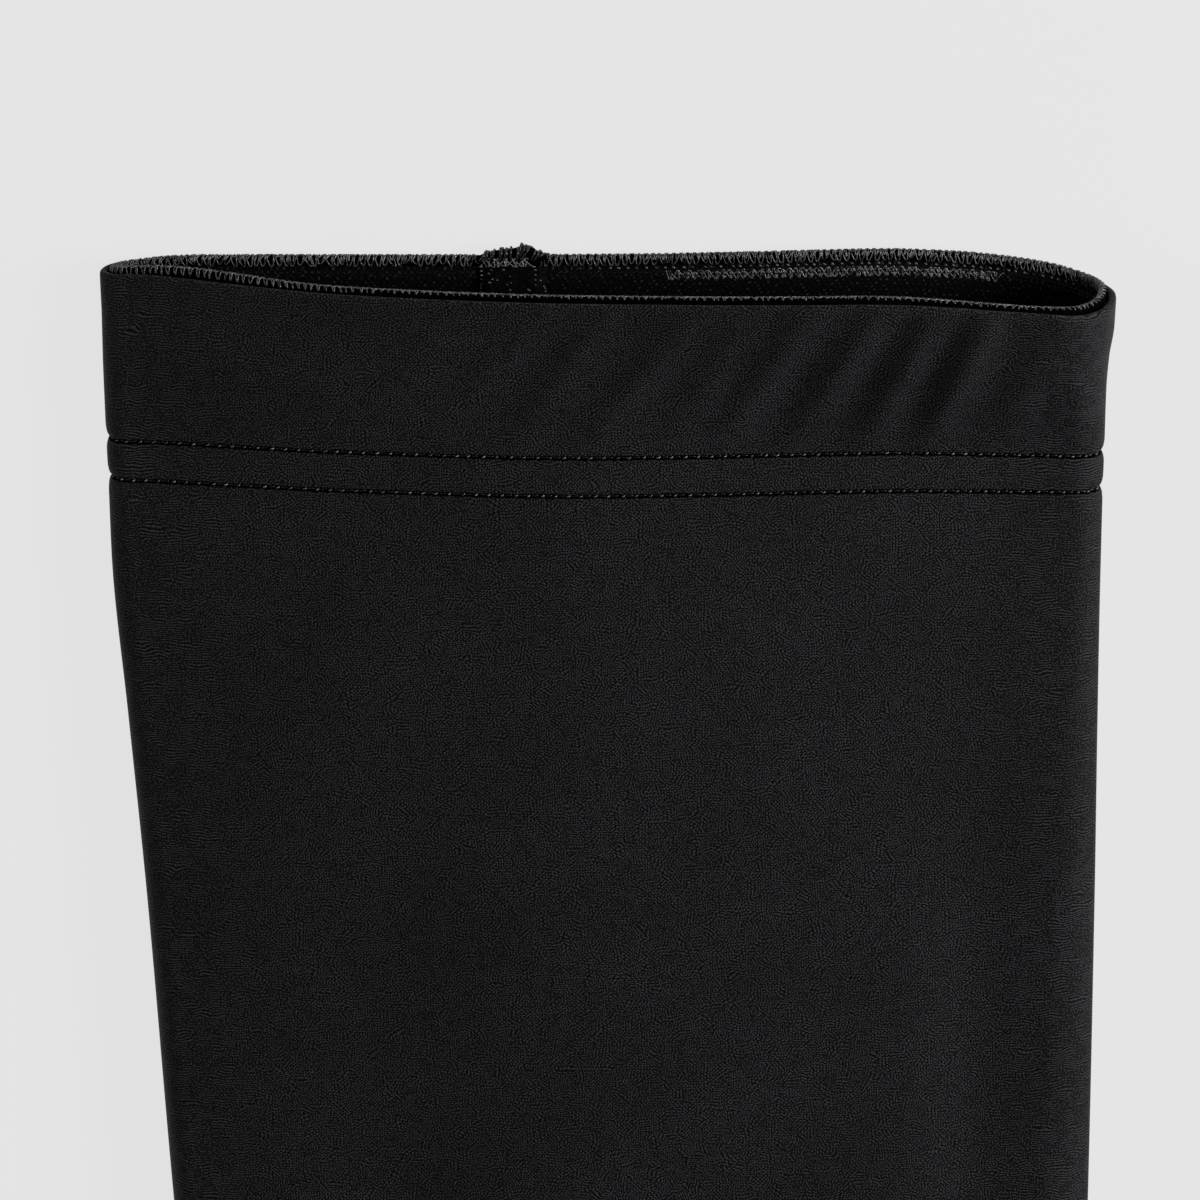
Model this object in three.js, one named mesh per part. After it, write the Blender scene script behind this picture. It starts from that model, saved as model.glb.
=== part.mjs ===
// Arm sleeve of stretch knit. It lies on its back on a flat surface, with its upper-arm opening
// towards +Y and its front up. Millimetres, +Z up. The origin is on the surface, under the
// middle of the sleeve's outline.
import * as THREE from "three";

// Driving sizes of the fabric tube
const sleeveLength = 400; // fold at the rim to the wrist's edge
const rimWidth = 130.3; // laid flat, at the rim
const wristWidth = 88; // laid flat, at the wrist
const wristShift = 12.6; // how far the wrist's middle lies to the right of the rim's middle
const mouthHeight = 19.2; // highest point of the open rim
const bodyHeight = 13.5; // highest point below the hem
const wall = 1;
const pieceGap = 0.3; // between two pieces that touch
const rimRise = 1; // how much further the rim's right side reaches than its left
const rimDipRight = 2; // how far the rim drops back towards its right fold
const rimDropRight = 0.5; // how much further its last stretch drops
const rimDipLeft = 0.4; // how far it drops back at its left fold
const rimLean = 0.35; // how much further the back of the rim reaches than its front
const rimLeanLeft = 0.4; // and how much more than that at its left side
const rimLeanRight = 1; // and at its right
const bendDepth = 47; // fold to where these bends of the rim have faded out

// Top hem, its elastic band and the overlocked edge that stands above the fold
const hemDepth = 27.6; // fold to the lower row of stitches
const stitchRowGap = 5.2;
const grooveDepth = 0.3;
const grooveWidth = 0.8;
const wrinkleHeight = 1.4; // the tallest of the hem's slanted wrinkles
const wrinkleWidth = 4;
const bandThickness = 1;
const bandInset = 1.1; // from the lower row of stitches up to the band's lower edge
const lockThickness = 0.95;
const lockHeight = 1.5;
const lockProud = 1.1; // how far the overlocked edge stands above the fold
const settleLeft = 0.6; // how much deeper the edge and its band sit at the left fold
const settleFront = 0.5; // on the front
const settleRight = 0.3; // and how much more than that beside the right fold

// Join of the band's ends, on the back of the rim, and the lengthwise seam below it
const joinPlace = -12; // from the rim's middle, across the sleeve
const joinWidth = 8.6;
const joinProud = 1.35; // how far its lump stands above the overlocked edge
const joinThickness = 1.5;
const joinRound = 0.4;
const joinRidge = 1.1; // thickness of the band's joined ends below the lump
const seamWidth = 5.5;
const seamThickness = 1.2;

// Plain hem turned in at the wrist
const wristHemDepth = 20;
const wristHemThickness = 1;
const wristHemInset = 0.4; // from the wrist's edge

// Rounded folds at the two sides of the flattened tube
const leftFoldReach = 3.5;
const leftFoldUnder = 3.6;
const rightFoldReach = 8; // where the fold is fullest
const rightFoldUnder = 20;

// Faceting
const frontColumns = 50;
const backColumns = 28;
const outlineSteps = 160; // samples of each side of an outline, before it is divided into columns
const foldWeight = 7; // how strongly a column seeks a bend, in millimetres for each radian

const fabric = new THREE.MeshStandardMaterial({ color: 0x1b1b1d, roughness: 0.8 });
const elastic = new THREE.MeshStandardMaterial({ color: 0x111112, roughness: 0.9 });
const thread = new THREE.MeshStandardMaterial({ color: 0x19191a, roughness: 0.6 });

// Cross-sections of the hem, from the fold (0) to the lower row of stitches (1).
// taper goes from the rim's width (0) to the wrist's (1), and shift from the rim's middle (0) to
// the wrist's (1). gape goes from the body's height (0) to the open mouth's (1). The tips are the
// two side folds, and front0 to front4 the front from the left fold to the right, as shares of
// the height there. round is how far the right fold rounds in, as a share of its full reach.
const hemSections = [
  { at: 0, taper: 0, shift: 0, gape: 1, leftTip: 0.16, rightTip: 0.47,
    front0: 0.29, front1: 0.73, front2: 0.91, front3: 0.965, front4: 0.95, round: 1 },
  { at: 0.16, taper: 0.005, shift: 0, gape: 0.7, leftTip: 0.18, rightTip: 0.49,
    front0: 0.34, front1: 0.75, front2: 0.92, front3: 0.96, front4: 0.95, round: 0.95 },
  { at: 0.31, taper: 0.019, shift: -0.02, gape: 0.46, leftTip: 0.21, rightTip: 0.53,
    front0: 0.4, front1: 0.78, front2: 0.935, front3: 0.96, front4: 0.955, round: 0.85 },
  { at: 0.48, taper: 0.027, shift: -0.03, gape: 0.22, leftTip: 0.25, rightTip: 0.6,
    front0: 0.46, front1: 0.82, front2: 0.955, front3: 0.96, front4: 0.96, round: 0.65 },
  { at: 0.8, taper: 0.032, shift: -0.025, gape: 0, leftTip: 0.28, rightTip: 0.64,
    front0: 0.48, front1: 0.82, front2: 0.99, front3: 0.94, front4: 0.87, round: 0.55 },
  { at: 1, taper: 0.038, shift: -0.022, gape: 0, leftTip: 0.3, rightTip: 0.65,
    front0: 0.5, front1: 0.83, front2: 1, front3: 0.94, front4: 0.87, round: 0.55 },
];

// Cross-sections below the hem, from the lower row of stitches (0) to the wrist's edge (1)
const bodySections = [
  { at: 0.03, taper: 0.043, shift: -0.015, gape: 0, leftTip: 0.3, rightTip: 0.65,
    front0: 0.5, front1: 0.84, front2: 1, front3: 0.94, front4: 0.87, round: 0.55 },
  { at: 0.09, taper: 0.08, shift: 0.055, gape: 0, leftTip: 0.31, rightTip: 0.65,
    front0: 0.52, front1: 0.84, front2: 1, front3: 0.95, front4: 0.87, round: 0.65 },
  { at: 0.16, taper: 0.12, shift: 0.14, gape: 0, leftTip: 0.31, rightTip: 0.64,
    front0: 0.54, front1: 0.84, front2: 1, front3: 0.96, front4: 0.88, round: 0.8 },
  { at: 0.28, taper: 0.18, shift: 0.25, gape: 0, leftTip: 0.31, rightTip: 0.63,
    front0: 0.56, front1: 0.84, front2: 0.99, front3: 0.97, front4: 0.9, round: 1 },
  { at: 0.46, taper: 0.31, shift: 0.42, gape: -0.1, leftTip: 0.32, rightTip: 0.62,
    front0: 0.6, front1: 0.88, front2: 1, front3: 0.98, front4: 0.93, round: 1 },
  { at: 0.65, taper: 0.54, shift: 0.64, gape: -0.2, leftTip: 0.35, rightTip: 0.6,
    front0: 0.66, front1: 0.92, front2: 1, front3: 0.99, front4: 0.93, round: 1 },
  { at: 0.84, taper: 0.82, shift: 0.86, gape: -0.22, leftTip: 0.38, rightTip: 0.58,
    front0: 0.72, front1: 0.95, front2: 1, front3: 0.98, front4: 0.92, round: 1 },
  { at: 0.95, taper: 0.96, shift: 0.97, gape: -0.12, leftTip: 0.38, rightTip: 0.58,
    front0: 0.72, front1: 0.95, front2: 1, front3: 0.98, front4: 0.92, round: 1 },
  { at: 1, taper: 1, shift: 1, gape: -0.08, leftTip: 0.38, rightTip: 0.58,
    front0: 0.72, front1: 0.95, front2: 1, front3: 0.98, front4: 0.92, round: 1 },
];

// Slanted wrinkles of the hem's front. across is a share of half the rim's width from its
// middle, slant how far a wrinkle leans across for each millimetre down, and height a share
// of the tallest.
const hemWrinkles = [
  { across: -0.36, slant: -0.9, height: 0.2 },
  { across: -0.16, slant: -0.8, height: 0.25 },
  { across: 0.063, slant: -0.7, height: 0.45 },
  { across: 0.305, slant: -0.6, height: 0.58 },
  { across: 0.5, slant: -0.5, height: 0.85 },
  { across: 0.685, slant: -0.37, height: 1 },
  { across: 0.83, slant: -0.35, height: 0.35 },
];

// Shallow lengthwise hollows of the front, beside the side folds. across is a share of the
// width from the left fold, start and full the shares of the length between which a hollow
// grows, width a share of the local width and depth a share of the body's height.
const frontHollows = [
  { across: 0.25, start: 0.1, full: 0.35, width: 0.085, depth: 0.085 },
  { across: 0.875, start: 0.08, full: 0.33, width: 0.05, depth: 0.08 },
];

const { clamp, lerp, smoothstep } = THREE.MathUtils;

// A smooth curve through a table's column that never overshoots its rows.
function smoothColumn(table, column) {
  const places = table.map((row) => row.place);
  const values = table.map((row) => row[column]);
  const last = places.length - 1;
  const steps = places.slice(1).map((place, i) => (values[i + 1] - values[i]) / (place - places[i]));
  const slopes = values.map((_, i) => {
    if (i === 0 || i === last) return steps[i === 0 ? 0 : last - 1];
    const [before, after] = [steps[i - 1], steps[i]];
    return before * after <= 0 ? 0 : (2 * before * after) / (before + after);
  });
  return (place) => {
    const p = clamp(place, places[0], places[last]);
    const i = clamp(places.findIndex((next) => next > p) - 1, 0, last - 1);
    const k = p >= places[last] ? last - 1 : i;
    const span = places[k + 1] - places[k];
    const t = (p - places[k]) / span;
    const rise = values[k + 1] - values[k];
    const [m0, m1] = [slopes[k] * span, slopes[k + 1] * span];
    return values[k] + t * (m0 + t * (3 * rise - 2 * m0 - m1 + t * (m0 + m1 - 2 * rise)));
  };
}

const sections = [
  ...hemSections.map((row) => ({ ...row, place: row.at * hemDepth })),
  ...bodySections.map((row) => ({ ...row, place: lerp(hemDepth, sleeveLength, row.at) })),
];
const column = Object.fromEntries(
  Object.keys(sections[0]).map((name) => [name, smoothColumn(sections, name)]),
);
const stitchRows = [hemDepth - stitchRowGap, hemDepth];
const bandDepth = hemDepth - bandInset;

// Rounded end of a side fold: 0 at the tip and 1 from the given reach inwards.
function foldRound(distance, reach) {
  const share = clamp(distance / reach, 0, 1);
  return Math.sqrt(1 - (1 - share) ** 2);
}

// Height of the front between its shoulders, from the table's five columns.
function frontHeight(down, share) {
  const nodes = [0, 1, 2, 3, 4].map((i) => ({ place: i / 4, height: column[`front${i}`](down) }));
  return smoothColumn(nodes, "height")(share);
}

function hollowDepth(down, share) {
  const along = down / sleeveLength;
  return frontHollows.reduce((sum, hollow) => {
    const grown = smoothstep(along, hollow.start, hollow.full);
    const off = (share - hollow.across) / hollow.width;
    return sum + hollow.depth * bodyHeight * grown * Math.exp(-off * off);
  }, 0);
}

function wrinkleAt(x, down) {
  const slack = Math.sin(Math.PI * clamp(down / stitchRows[0], 0, 1) ** 0.8) ** 0.8;
  const middle = stitchRows[0] / 2;
  return hemWrinkles.reduce((sum, wrinkle) => {
    const centre = (wrinkle.across * rimWidth) / 2 + wrinkle.slant * (down - middle);
    const off = (x - centre) / wrinkleWidth;
    return sum + wrinkleHeight * wrinkle.height * slack * Math.exp(-off * off);
  }, 0);
}

function grooveAt(down) {
  const off = Math.min(...stitchRows.map((row) => Math.abs(down - row)));
  return grooveDepth * Math.exp(-((off / grooveWidth) ** 2));
}

// One side of the outline at a distance down from the fold: the front from the left tip to the
// right, or the back from the right tip to the left, with its inward normals.
function outlineSide(down, front) {
  const place = clamp(down, 0, sleeveLength);
  const half = lerp(rimWidth, wristWidth, column.taper(place)) / 2 - grooveAt(place);
  const middle = wristShift * column.shift(place);
  const height = lerp(bodyHeight, mouthHeight, column.gape(place));
  const [leftTip, rightTip] = [column.leftTip(place) * height, column.rightTip(place) * height];
  const rightReach = rightFoldReach * column.round(place);
  const points = [];
  for (let i = 0; i <= outlineSteps; i++) {
    const turn = Math.cos((Math.PI * i) / outlineSteps);
    const x = front ? -half * turn : half * turn;
    const [fromLeft, fromRight] = [half + x, half - x];
    let z;
    if (front) {
      const share = clamp((fromLeft - leftFoldReach) / (2 * half - leftFoldReach - rightReach), 0, 1);
      const top = frontHeight(place, share) * height - hollowDepth(place, fromLeft / (2 * half));
      z = top
        - (top - leftTip) * (1 - foldRound(fromLeft, leftFoldReach))
        - (top - rightTip) * (1 - foldRound(fromRight, rightReach));
    } else {
      z = leftTip * (1 - foldRound(fromLeft, leftFoldUnder))
        + rightTip * (1 - foldRound(fromRight, rightFoldUnder));
    }
    points.push(new THREE.Vector2(x + middle, z));
  }
  return points;
}

// Divides one side of an outline into columns, closer together where it bends.
function divide(points, columns) {
  const totals = [0];
  for (let i = 1; i < points.length; i++) {
    const step = points[i].clone().sub(points[i - 1]);
    const before = i > 1 ? points[i - 1].clone().sub(points[i - 2]) : step;
    const bend = Math.abs(before.cross(step)) / (before.length() * step.length());
    totals.push(totals[i - 1] + step.length() + foldWeight * bend);
  }
  const whole = totals[totals.length - 1];
  return Array.from({ length: columns }, (_, k) => {
    const wanted = (whole * k) / columns;
    const i = clamp(totals.findIndex((total) => total > wanted) - 1, 0, points.length - 2);
    const t = (wanted - totals[i]) / (totals[i + 1] - totals[i]);
    const [a, b] = [points[Math.max(i - 1, 0)], points[Math.min(i + 2, points.length - 1)]];
    const along = b.clone().sub(a).normalize();
    return {
      at: points[i].clone().lerp(points[i + 1], t),
      inward: new THREE.Vector2(along.y, -along.x),
    };
  });
}

const outlines = new Map();
function outlineAt(down) {
  const key = down.toFixed(4);
  if (!outlines.has(key)) {
    const front = outlineSide(down, true);
    const back = outlineSide(down, false);
    // The tips' normals point straight across
    const spots = [...divide(front, frontColumns), ...divide(back, backColumns)];
    spots[0].inward.set(1, 0);
    spots[frontColumns].inward.set(-1, 0);
    outlines.set(key, spots);
  }
  return outlines.get(key);
}

// How much deeper the inner pieces sit at a place of the outline.
function settleAt(at, down) {
  const across = at.x / (rimWidth / 2);
  const height = at.y / mouthHeight;
  const left = settleLeft * smoothstep(-across, 0.8, 1);
  const front = settleFront * smoothstep(height, 0.35, 0.6) * smoothstep(1 - Math.abs(across), 0, 0.2);
  const right = settleRight * smoothstep(height, 0.35, 0.8) * smoothstep(across, 0.45, 0.8);
  return (left + front + right) * (1 - smoothstep(down, 0, bandDepth));
}

// A point of the sleeve: a column of the outline, a distance down from the fold, and a depth
// into the wall from the sleeve's outer face.
function surfacePoint(index, wanted, depth) {
  const count = frontColumns + backColumns;
  const turn = ((index % count) + count) % count;
  const down = depth > wall ? wanted + settleAt(outlineAt(wanted)[turn].at, wanted) : wanted;
  const spot = outlineAt(down)[turn];
  const front = index % count > 0 && index % count < frontColumns;
  const lift = front && depth <= wall ? wrinkleAt(spot.at.x, down) : 0;
  const at = spot.at.clone().addScaledVector(spot.inward, depth - lift);
  const across = spot.at.x / (rimWidth / 2);
  const dip = rimDipRight * smoothstep(across, 0.5, 1)
    + rimDropRight * smoothstep(across, 0.85, 1)
    + rimDipLeft * smoothstep(-across, 0.86, 1);
  const reach = rimLean + rimLeanLeft * smoothstep(-across, 0, 1) + rimLeanRight * smoothstep(across, 0, 1);
  const lean = reach * (1 - spot.at.y / mouthHeight);
  const skew = ((rimRise * across) / 2) * (1 - smoothstep(down, hemDepth, sleeveLength / 2));
  const bend = (lean - dip) * (1 - smoothstep(down, 0, bendDepth));
  return new THREE.Vector3(at.x, sleeveLength / 2 - down + skew + bend, at.y);
}

// Skins a row of closed loops. The row is closed on itself, or capped at both ends.
function loft(loops, closed) {
  const size = loops[0].length;
  const positions = loops.flat().flatMap((point) => point.toArray());
  const indices = [];
  const rows = closed ? loops.length : loops.length - 1;
  for (let i = 0; i < rows; i++) {
    const next = (i + 1) % loops.length;
    for (let j = 0; j < size; j++) {
      const k = (j + 1) % size;
      const [a, b, c, d] = [i * size + j, i * size + k, next * size + k, next * size + j];
      indices.push(a, b, d, b, c, d);
    }
  }
  if (!closed) {
    const far = (loops.length - 1) * size;
    for (let j = 1; j < size - 1; j++) {
      indices.push(0, j + 1, j, far, far + j, far + j + 1);
    }
  }
  const geometry = new THREE.BufferGeometry();
  geometry.setAttribute("position", new THREE.Float32BufferAttribute(positions, 3));
  geometry.setIndex(indices);
  geometry.computeVertexNormals();
  return geometry;
}

// A wall round the whole sleeve, from a profile of [distance down, depth into the wall] pairs.
function ringWall(profile) {
  const loops = Array.from({ length: frontColumns + backColumns }, (_, index) =>
    profile.map(([down, depth]) => surfacePoint(index, down, depth)));
  return loft(loops, true);
}

// The back's columns run from right to left: a whole or part column there for a place across.
function backColumnAt(x, down) {
  const spots = outlineAt(down);
  for (let i = frontColumns; i < spots.length - 1; i++) {
    const [from, to] = [spots[i].at.x, spots[i + 1].at.x];
    if (x <= from && x >= to) return i + (from - x) / (from - to);
  }
  throw new Error(`no back column at ${x}`);
}

// A point on the back at a place across that need not be on a column.
function backPoint(x, down, depth) {
  const place = backColumnAt(x, down);
  const index = Math.floor(place);
  return surfacePoint(index, down, depth).lerp(surfacePoint(index + 1, down, depth), place - index);
}

function namedMesh(name, geometry, material) {
  const mesh = new THREE.Mesh(geometry, material);
  mesh.name = name;
  return mesh;
}

function between(from, to, count) {
  return Array.from({ length: count }, (_, i) => lerp(from, to, (i + 1) / (count + 1)));
}

// Rows of the hem's inner face, which the band shares so that their gap stays even
const [upper, lower] = stitchRows;
const [first, second] = [0.07 * upper, 0.19 * upper];
const hemRows = [second, ...between(second, upper, 3), upper];

// Fabric tube: its top edge is a soft fold, and its wrist edge a plain one
function sleeveBody() {
  const below = lower + stitchRowGap / 2;
  const bodyRows = [below, ...between(below, sleeveLength, 10)];
  const outer = [
    first, second, ...between(second, upper, 7), upper, (upper + lower) / 2, lower, ...bodyRows,
  ];
  const inner = [first, ...hemRows, lower, ...bodyRows].reverse();
  const edge = 0.3 * wall;
  return ringWall([
    [0, 0.62 * wall], [0.18 * wall, 0.3 * wall], [0.7 * wall, 0.06 * wall],
    ...outer.map((down) => [down, 0]),
    [sleeveLength - edge, 0], [sleeveLength, 0.5 * wall], [sleeveLength - edge, wall],
    ...inner.map((down) => [down, wall]), [0.25 * wall, 0.97 * wall],
  ]);
}

const bandFace = wall + pieceGap; // depth of the face that lies against the fabric
const lockBottom = lockHeight - lockProud;

// Elastic band, which the stitches draw in with the fabric along its lower edge
function gripperBand() {
  const top = lockBottom + pieceGap;
  const back = bandFace + bandThickness;
  const rows = [top, ...hemRows];
  return ringWall([
    ...rows.map((down) => [down, bandFace]),
    [bandDepth, bandFace + grooveDepth], [bandDepth, back],
    ...rows.slice().reverse().map((down) => [down, back]),
  ]);
}

// Overlocked edge: a rounded bead round the rim, open at the join of the band's ends
function rimOverlock() {
  const [near, far] = [bandFace, bandFace + lockThickness];
  const round = lockThickness / 4;
  const profile = [
    [-lockProud + round, near], [lockBottom, near], [lockBottom, far], [-lockProud + round, far],
    [-lockProud, far - round], [-lockProud, near + round],
  ];
  const clear = joinWidth / 2 + pieceGap;
  const count = frontColumns + backColumns;
  const start = Math.ceil(backColumnAt(joinPlace - clear, 0));
  const end = Math.floor(backColumnAt(joinPlace + clear, 0));
  const loops = [profile.map(([down, depth]) => backPoint(joinPlace - clear, down, depth))];
  for (let index = start; index <= end + count; index++) {
    loops.push(profile.map(([down, depth]) => surfacePoint(index, down, depth)));
  }
  loops.push(profile.map(([down, depth]) => backPoint(joinPlace + clear, down, depth)));
  return loft(loops, false);
}

// Join of the band's ends: a lump in the overlocked edge, and a ridge down the band's inside
function bandJoin() {
  const near = bandFace;
  const ridgeFace = bandFace + bandThickness + pieceGap;
  const top = lockProud + joinProud;
  // across is a share of half the join's width, rise of the lump's height above the fold
  const lump = [
    { across: 1, rise: 0.55 }, { across: 0.88, rise: 0.76 }, { across: 0.62, rise: 0.94 },
    { across: 0.15, rise: 1 }, { across: -0.3, rise: 0.92 }, { across: -0.72, rise: 0.78 },
    { across: -1, rise: 0.6 },
  ];
  return lump.map(({ across, rise }) => {
    const x = joinPlace + (across * joinWidth) / 2;
    const full = 1 - 0.35 * across ** 4;
    const far = near + joinThickness * full;
    const inner = Math.max(far, ridgeFace + joinRidge * full);
    // It starts at its inward corner, which sees the whole section, for the end caps
    const profile = [
      [lockBottom, ridgeFace], [bandDepth, ridgeFace], [bandDepth, ridgeFace + joinRidge * full],
      [lockBottom, inner], [-top * rise + joinRound, far], [-top * rise, near + 0.7 * (far - near)],
      [-top * rise, near + 0.3 * (far - near)], [lockBottom, near],
    ];
    return profile.map(([down, depth]) => backPoint(x, down, depth));
  });
}

function wristHem() {
  const start = sleeveLength - wristHemDepth;
  const end = sleeveLength - wristHemInset;
  const rows = [start, (start + end) / 2, end];
  const near = wall + pieceGap;
  return ringWall([
    ...rows.map((down) => [down, near]),
    ...rows.slice().reverse().map((down) => [down, near + wristHemThickness]),
  ]);
}

// Lengthwise seam: the overlocked allowance, a low ridge down the inside of the back
function backSeam() {
  const start = bandDepth + pieceGap;
  const end = sleeveLength - wristHemDepth - pieceGap;
  const near = wall + pieceGap;
  const steps = 22;
  return Array.from({ length: steps + 1 }, (_, i) => {
    const down = lerp(start, end, i / steps);
    const x = joinPlace + wristShift * column.shift(down);
    const profile = [
      [-0.5, 0], [0.5, 0], [0.42, 0.85], [0.15, 1], [-0.15, 1], [-0.42, 0.85],
    ];
    return profile.map(([across, rise]) =>
      backPoint(x + across * seamWidth, down, near + rise * seamThickness));
  });
}

const sleeve = new THREE.Group();
sleeve.add(
  namedMesh("sleeve_body", sleeveBody(), fabric),
  namedMesh("gripper_band", gripperBand(), elastic),
  namedMesh("rim_overlock", rimOverlock(), thread),
  namedMesh("band_join", loft(bandJoin(), false), thread),
  namedMesh("back_seam", loft(backSeam(), false), thread),
  namedMesh("wrist_hem", wristHem(), fabric),
);

// The origin goes under the middle of the outline, on the surface
const bounds = new THREE.Box3().setFromObject(sleeve);
const middle = bounds.getCenter(new THREE.Vector3());
sleeve.position.set(-middle.x, -middle.y, -bounds.min.z);

export default sleeve;
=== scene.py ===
"""The arm sleeve of the photograph: knit, elastic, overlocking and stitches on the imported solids."""
import math
from collections import namedtuple
from functools import lru_cache

import bpy
import numpy as np
from mathutils import Matrix, Vector


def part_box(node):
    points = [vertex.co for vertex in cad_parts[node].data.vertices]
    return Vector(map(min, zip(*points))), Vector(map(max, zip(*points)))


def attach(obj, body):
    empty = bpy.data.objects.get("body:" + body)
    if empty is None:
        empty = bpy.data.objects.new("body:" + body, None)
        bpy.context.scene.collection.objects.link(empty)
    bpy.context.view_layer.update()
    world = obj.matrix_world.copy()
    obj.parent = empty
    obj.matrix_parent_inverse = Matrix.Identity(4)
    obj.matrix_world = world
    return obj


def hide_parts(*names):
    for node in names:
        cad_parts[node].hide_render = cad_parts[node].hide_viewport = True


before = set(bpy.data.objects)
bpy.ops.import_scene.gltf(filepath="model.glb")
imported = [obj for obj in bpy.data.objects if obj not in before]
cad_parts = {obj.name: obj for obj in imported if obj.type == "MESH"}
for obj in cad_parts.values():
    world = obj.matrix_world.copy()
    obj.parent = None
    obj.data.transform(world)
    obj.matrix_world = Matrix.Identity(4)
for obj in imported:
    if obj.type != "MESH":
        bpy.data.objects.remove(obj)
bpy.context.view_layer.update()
rng = np.random.default_rng(11)

# Sizes of the fabric tube, in millimetres as in the part's own source
MM = 0.001
SLEEVE_LENGTH = 400
RIM_WIDTH = 130.3
WRIST_WIDTH = 88
WRIST_SHIFT = 12.6
MOUTH_HEIGHT = 19.2
BODY_HEIGHT = 13.5
WALL = 1
PIECE_GAP = 0.3
RIM_RISE = 1
RIM_DIP_RIGHT = 2
RIM_DROP_RIGHT = 0.5
RIM_DIP_LEFT = 0.4
RIM_LEAN = 0.35
RIM_LEAN_LEFT = 0.4
RIM_LEAN_RIGHT = 1
BEND_DEPTH = 47
HEM_DEPTH = 27.6
STITCH_ROW_GAP = 5.2
STITCH_ROWS = (HEM_DEPTH - STITCH_ROW_GAP, HEM_DEPTH)
LEFT_FOLD_REACH = 3.5
LEFT_FOLD_UNDER = 3.6
RIGHT_FOLD_REACH = 8
RIGHT_FOLD_UNDER = 20

# The inner pieces, and how much deeper than the fabric they settle
BAND_THICKNESS = 1
BAND_INSET = 1.1
BAND_DEPTH = HEM_DEPTH - BAND_INSET
LOCK_THICKNESS = 0.95
LOCK_HEIGHT = 1.5
LOCK_PROUD = 1.1
SETTLE_LEFT = 0.6
SETTLE_FRONT = 0.5
SETTLE_RIGHT = 0.3
JOIN_PLACE = -12
JOIN_WIDTH = 8.6
JOIN_THICKNESS = 1.5
JOIN_RIDGE = 1.1
SEAM_WIDTH = 5.5
SEAM_THICKNESS = 1.2
WRIST_HEM_DEPTH = 20
WRIST_HEM_THICKNESS = 1
WRIST_HEM_INSET = 0.4
BAND_FACE = WALL + PIECE_GAP
BAND_INSIDE = BAND_FACE + BAND_THICKNESS
RIDGE_FOOT = BAND_INSIDE + PIECE_GAP

# What only the dressed sleeve has
WRINKLE_HEIGHT = 1.9
WRINKLE_WIDTH = 2.6
PUCKER_DEPTH = 0.3
PUCKER_WIDTH = 0.8
GROOVE_DEPTH = 0.4
GROOVE_WIDTH = 0.24
JOIN_OVERLAP = 1.2
RIDGE_TOP = 0.5
RIDGE_RISE = 2.7
COVER_LEFT = 8
COVER_RIGHT = 51
COVER_TOP = 1.1
COVER_WIDTH = 1.25
COVER_SINK = 0.02
NEEDLE_DOWN = 0.66
NEEDLE_PITCH = 1.2
DOT_ROWS = (1.25, 1.75)
DOT_PITCH = 0.8
STITCH_PITCH = 1.72
STITCH_SINK = 0.14
RUN_SINK = 0.33
SPECK_COUNT = 26
STRAND_COUNT = 17
STRAND = 0.16
THREAD = 0.08
LOOP_PITCH = 0.92
COVER_PITCH = 0.95
JOIN_LOOP_PITCH = 1.15
ZIGZAG_PITCH = 2.2

# The fabrics' looks: pitches and distances in millimetres, noise scales for each millimetre of the
# map, and shares of the grain's height
LINE_PITCH = 0.38
LINE_HEIGHT = 0.13
PATCH_SCALE = 0.6
PATCH_STEP = 7.3
DRIFT_SCALE = 0.35
DRIFT_REACH = 1.6
FOLD_LOOK_START = 44
FOLD_LOOK_FULL = 60
GRAIN_SCALE = 4.6
GRAIN_HEIGHT = 0.7
GRAIN_FOOT = 0.15
WORN_SCALE = 0.05
RIB_PITCH = 0.9
BEAD_PITCH = 0.8

# Faceting
FRONT_COLUMNS = 230
BACK_COLUMNS = 110
OUTLINE_SAMPLES = 400
FOLD_WEIGHT = 7
GROOVE_REACH = 3.4 * GROOVE_WIDTH
GROOVE_STEP = 0.12
ROW_STEP = 0.5
HEM_STEP = 0.9
BELOW_HEM = 6
BELOW_STEP = 1
BODY_STEP = 2.8
INSIDE_HEM_STEP = 2.4
INSIDE_STEP = 9
BAND_ROWS = 30
WRIST_ROWS = 12
CORE_SECTIONS = 420
BAR_SECTIONS = 30
RIDGE_SECTIONS = 25
HUMP_SECTIONS = 33
SEAM_SECTIONS = 120
LOOP_STEPS = 14
ZIGZAG_STEPS = 8
STITCH_STEPS = 7
STRAND_STEPS = 17

# Camera and light, in metres
CAMERA_TILT = math.radians(22)
CAMERA_DISTANCE = 1.0375
CAMERA_LENS = 240
CAMERA_AIM = Vector((-0.00085, 0.15537, 0.01))
LIGHT_AIM = Vector((0, 0.1, 0))
AMBIENT = 0.1
FLOOR_REACH = 15
FLOOR_CLEARANCE = 0.0002
FLOOR_GLOW = 0.745

Light = namedtuple("Light", "name place size power")
LIGHTS = [
    Light("key", (0.85, 0.3, 0.5), 0.45, 12),
    Light("fill", (-0.8, 0.25, 0.55), 0.5, 1.7),
]

# The ways in which the knit's lines run, and what each is multiplied by near the side folds
Grain = namedtuple("Grain", "across along edge")
GRAIN = [
    Grain(1, 0, 0.2),
    Grain(0, 1, 1.6),
    Grain(0.71, 0.71, 0.2),
    Grain(0.71, -0.71, 0.2),
]

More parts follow.
